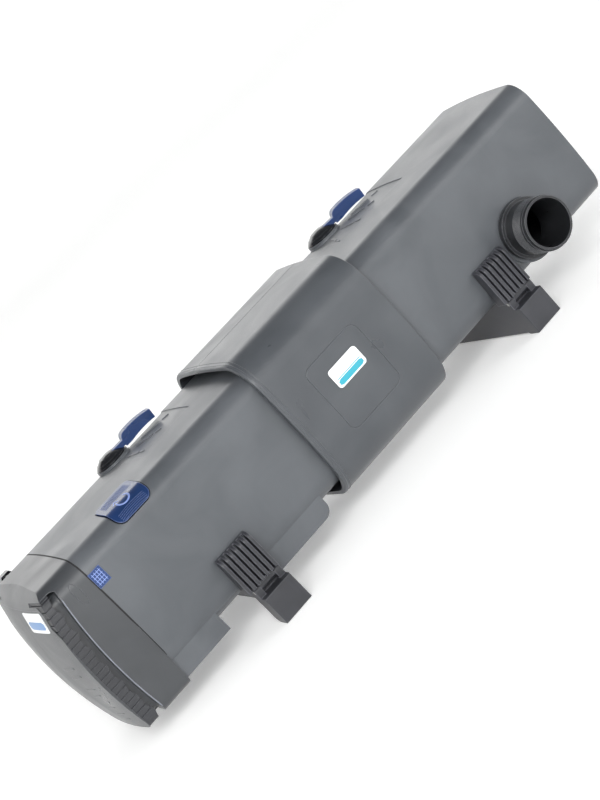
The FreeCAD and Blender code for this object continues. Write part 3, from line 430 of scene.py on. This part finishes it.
def band_outline():
    """A faint raised oval on the head's front band, where a thumb lines up."""
    middle_x, middle_z, half_width, half_height, steps = -17.5, 171.0, 4.2, 13.0, 48
    mesh = bmesh.new()
    points = []
    for turn in around(0, 360, steps)[:steps]:
        x = middle_x + half_width * math.cos(turn)
        z = middle_z + half_height * math.sin(turn)
        points.append(surface("head_shell", at(x, -clear_side, z), inwards))
    bead(mesh, points, 0.9 * mm, 0.25 * mm, closed=True)
    keep(mesh, "band_outline", "head", "head_plastic")


def panel_bars():
    """Two long slanted bars on the end panel, with a short hatch under them."""
    mesh = bmesh.new()
    hatch_top, hatch_pitch, slant = 88, 9.5, 4
    bars = [(-66, -26, 117, 112, 3.6), (-66, -26, 106, 100, 3.6)]
    for k in range(6):
        z = hatch_top - hatch_pitch * k
        bars.append((-70 + 5 * (k % 2), -34 - 6 * (k % 3), z, z - slant, 2.2))
    for y_start, y_end, z_start, z_end, width in bars:
        start, end = at(clear_end, y_start, z_start), at(clear_end, y_end, z_end)
        points = line_on("end_panel", start, end, from_end, 10)
        bead(mesh, points, width * mm, 0.5 * mm, flat=1.0)
    keep(mesh, "panel_bars", "head", "head_plastic")


def label_print():
    """A generic colour band on each label, with no lettering."""
    mesh = bmesh.new()
    margin = 3 * mm
    for share, width in ((0.22, 6.5 * mm), (0.42, 1.0 * mm)):
        z = label_low.z + share * (label_high.z - label_low.z)
        start = Vector((label_low.x + margin, -reach, z))
        end = Vector((label_high.x - margin, -reach, z))
        bead(mesh, line_on("front_label", start, end, inwards, 12), width, 0.08 * mm, flat=1.0)
    keep(mesh, "front_label_band", "vessel", "label_film", teal_ink)
    mesh = bmesh.new()
    z = (badge_low.z + badge_high.z) / 2 - 3 * mm
    margin = 4 * mm
    start = Vector((badge_low.x - reach, badge_low.y + margin, z))
    end = Vector((badge_low.x - reach, badge_high.y - margin, z))
    bead(mesh, line_on("head_label", start, end, from_end, 10), 9 * mm, 0.06 * mm, flat=1.0)
    keep(mesh, "head_label_band", "head", "label_film", blue_ink)


def mark_grid():
    """A fine grid of raised lines on the position mark, coloured light as a painted highlight."""
    mesh = bmesh.new()
    count, margin, width = 4, 1.6 * mm, 0.7 * mm
    for k in range(1, count + 1):
        share = k / (count + 1)
        x = mark_low.x + share * (mark_high.x - mark_low.x)
        z = mark_low.z + share * (mark_high.z - mark_low.z)
        upright = (Vector((x, -reach, mark_low.z + margin)), Vector((x, -reach, mark_high.z - margin)))
        level = (Vector((mark_low.x + margin, -reach, z)), Vector((mark_high.x - margin, -reach, z)))
        for start, end in (upright, level):
            bead(mesh, line_on("position_mark", start, end, inwards, 6), width, 0.15 * mm)
    keep(mesh, "position_mark_grid", "vessel", "blue_plastic", pale_blue_highlight)


def on_button(x, down):
    """A place on the release button: x along the vessel, down along the rounded corner."""
    out = Vector((0, -math.sqrt(0.5), math.sqrt(0.5)))
    along = Vector((0, -math.sqrt(0.5), -math.sqrt(0.5)))
    corner, clear = Vector((x, -92 * mm, 193 * mm)), 60 * mm
    return surface("release_button", corner + out * clear + along * down, -out)


def button_detail():
    """A curved arrow and fine bowed ribs moulded on the release button; the arrow is coloured light as a
    painted highlight.
    """
    middle = (button_low.x + button_high.x) / 2
    half = (button_high.x - button_low.x) / 2
    arrow_down, radius, width, height = -14 * mm, 7.5 * mm, 2.2 * mm, 0.55 * mm
    mesh = bmesh.new()
    arc = [on_button(middle + radius * math.cos(t), arrow_down + radius * math.sin(t))
           for t in around(-50, 205, 24)]
    bead(mesh, arc, width, height)
    tip = [on_button(middle + x * mm, arrow_down + down * mm)
           for x, down in ((-10.5, -3), (-7, -8), (-3, -3.4))]
    bead(mesh, tip, width, height)
    keep(mesh, "button_arrow", "button", "blue_plastic", pale_blue_highlight)
    mesh = bmesh.new()
    top_row, pitch, clear_of_arrow = -38 * mm, 2.1 * mm, 11 * mm
    bow, half_steps, margin = 1.6 * mm, 8, 5.5 * mm
    rows = [top_row + pitch * k for k in range(22)]
    for row in [down for down in rows if abs(down - arrow_down) > clear_of_arrow]:
        shares = [step / half_steps - 1 for step in range(2 * half_steps + 1)]
        points = [on_button(middle + u * (half - margin), row + bow * u * u) for u in shares]
        bead(mesh, points, 0.8 * mm, 0.22 * mm)
    keep(mesh, "button_ribs", "button", "blue_plastic")


def lever_axes(name, rest):
    """A place over a lever's spindle, and the directions along and across its handle."""
    low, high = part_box(f"lever_hub_{name}")
    spindle = (low + high) / 2
    spindle.z = high.z + reach
    along = Vector((math.cos(math.radians(rest)), math.sin(math.radians(rest)), 0))
    return spindle, along, Vector((-along.y, along.x, 0))


def lever_dots(name, rest):
    """Rows of fine grip dots on a lever's handle."""
    spindle, along, across = lever_axes(name, rest)
    first, pitch, rows, columns, column_pitch = 33 * mm, 2.4 * mm, 13, 4, 2.6 * mm
    foot_radius, crown_radius, sunk, height, sides = 0.75 * mm, 0.4 * mm, 0.1 * mm, 0.2 * mm, 8
    turns = around(0, 360, sides)[:sides]
    mesh = bmesh.new()
    for row in range(rows):
        for column in range(columns):
            place = (spindle + along * (first + pitch * row)
                     + across * (column - (columns - 1) / 2) * column_pitch)
            foot, normal = surface(f"lever_handle_{name}", place, -up)
            rings = [[mesh.verts.new(foot + (along * math.cos(t) + across * math.sin(t)) * radius
                                     + normal * lift) for t in turns]
                     for radius, lift in ((foot_radius, -sunk), (crown_radius, height))]
            mesh.faces.new(rings[1])
            mesh.faces.new(rings[0][::-1])
            for k in range(sides):
                m = (k + 1) % sides
                mesh.faces.new((rings[0][k], rings[0][m], rings[1][m], rings[1][k]))
    keep(mesh, f"lever_dots_{name}", f"lever_{name}", "blue_plastic")


def hub_rings(name, rest):
    """Two raised rings round a hub's cap, open where the handle's neck leaves it."""
    spindle, _, _ = lever_axes(name, rest)
    mesh = bmesh.new()
    for radius in (10.5 * mm, 16.5 * mm):
        points = []
        for turn in around(rest + 62, rest + 298, 44):
            place = spindle + Vector((math.cos(turn), math.sin(turn), 0)) * radius
            points.append(surface(f"lever_hub_{name}", place, -up))
        bead(mesh, points, 0.9 * mm, 0.3 * mm)
    keep(mesh, f"hub_rings_{name}", f"lever_{name}", "black_plastic")


for build in (joint_seam, sleeve_rims, recess_lips, band_outline, panel_bars, label_print, mark_grid,
              button_detail):
    build()
for lever, rest_turn in (("left", -6.0), ("right", -15.0)):
    lever_dots(lever, rest_turn)
    hub_rings(lever, rest_turn)


# ---- stage --------------------------------------------------------------------------------------
def studio_floor():
    """A pale disc that curves up into a wall all round."""
    mesh = bmesh.new()
    centre_radius, flat_radius, bend, wall, steps, turns = 0.5, 5.0, 2.0, 2.5, 10, 72
    below_feet = 0.0002          # keeps the floor and the feet from lying in one plane
    profile = [(centre_radius, 0.0), (flat_radius, 0.0)]
    profile += [(flat_radius + bend * math.sin(a), bend * (1 - math.cos(a)))
                for a in [math.pi / 2 * k / steps for k in range(1, steps + 1)]]
    profile.append((flat_radius + bend, bend + wall))
    rings = [[mesh.verts.new((r * math.cos(t), r * math.sin(t), z - below_feet))
              for t in [2 * math.pi * k / turns for k in range(turns)]] for r, z in profile]
    mesh.faces.new(rings[0])
    for low, high in zip(rings, rings[1:]):
        for k in range(turns):
            m = (k + 1) % turns
            mesh.faces.new((low[k], high[k], high[m], low[m]))
    data = bpy.data.meshes.new("studio_floor")
    mesh.to_mesh(data)
    mesh.free()
    data.shade_smooth()
    floor = bpy.data.objects.new("studio_floor", data)
    bpy.context.scene.collection.objects.link(floor)
    material, tree, place = new_material("painted_white_sweep")
    unevenness = add(tree, "TexNoise", {"Vector": place}, Scale=2.0, Detail=2.0)
    tint = add(tree, "Mix", {"Factor": unevenness.outputs["Fac"]}, data_type="RGBA",
               _6=linear("#efefee"), _7=linear("#f4f4f3"))
    height = add(tree, "SeparateXYZ", {"Vector": place})
    glow = add(tree, "MapRange", {"Value": height.outputs["Z"]}, From_Min=0.0, From_Max=1.0,
               To_Min=0.26, To_Max=0.8)
    shader = add(tree, "BsdfPrincipled", {"Base Color": tint.outputs[2],
                                          "Emission Strength": glow.outputs["Result"]},
                 Roughness=0.9, Emission_Color=linear("#ffffff"))
    finish_material(tree, shader)
    data.materials.append(material)


def softbox(name, place, target, width, height, watts, tint="#ffffff"):
    lamp = bpy.data.lights.new(name, "AREA")
    lamp.shape = "RECTANGLE"
    lamp.size, lamp.size_y = width, height
    lamp.energy = watts
    lamp.color = linear(tint)[:3]
    holder = bpy.data.objects.new(name, lamp)
    bpy.context.scene.collection.objects.link(holder)
    holder.location = place
    holder.rotation_euler = (Vector(target) - Vector(place)).to_track_quat("-Z", "Y").to_euler()


def camera():
    """A short telephoto from the front left, rolled so that the vessel climbs to the right."""
    azimuth, elevation, roll = (math.radians(a) for a in (18.065, 14.05, -43.231))
    distance, lens = 1.92444, 81.45
    target = Vector((-6.68, 0, 112.95)) * mm
    back = Vector((-math.sin(azimuth) * math.cos(elevation),
                   -math.cos(azimuth) * math.cos(elevation), math.sin(elevation)))
    right = (-back).cross(up).normalized()
    above = right.cross(-back)
    across = right * math.cos(roll) + above * math.sin(roll)
    along = above * math.cos(roll) - right * math.sin(roll)
    data = bpy.data.cameras.new("camera")
    data.lens = lens
    data.clip_start = 0.05
    holder = bpy.data.objects.new("camera", data)
    bpy.context.scene.collection.objects.link(holder)
    turn = Matrix((across, along, back)).transposed().to_4x4()
    holder.matrix_world = Matrix.Translation(target + back * distance) @ turn
    bpy.context.scene.camera = holder


def studio_light():
    """A long key softbox from the upper front, a weaker fill from the right and a faint back light."""
    middle = (0, 0, 0.1)
    softbox("key_softbox", (-1.0, -2.6, 1.7), middle, 2.0, 1.0, 74)
    softbox("fill_softbox", (2.4, -2.0, 0.9), middle, 1.4, 1.4, 20)
    softbox("back_softbox", (0.8, 2.6, 1.9), middle, 2.4, 1.0, 12)
    world = bpy.data.worlds.new("studio_air")
    bpy.context.scene.world = world
    world.use_nodes = True
    world.node_tree.nodes["Background"].inputs["Color"].default_value = linear("#d8dadd")
    world.node_tree.nodes["Background"].inputs["Strength"].default_value = 0.3
    bpy.context.scene.view_settings.view_transform = "Standard"


studio_floor()
camera()
studio_light()
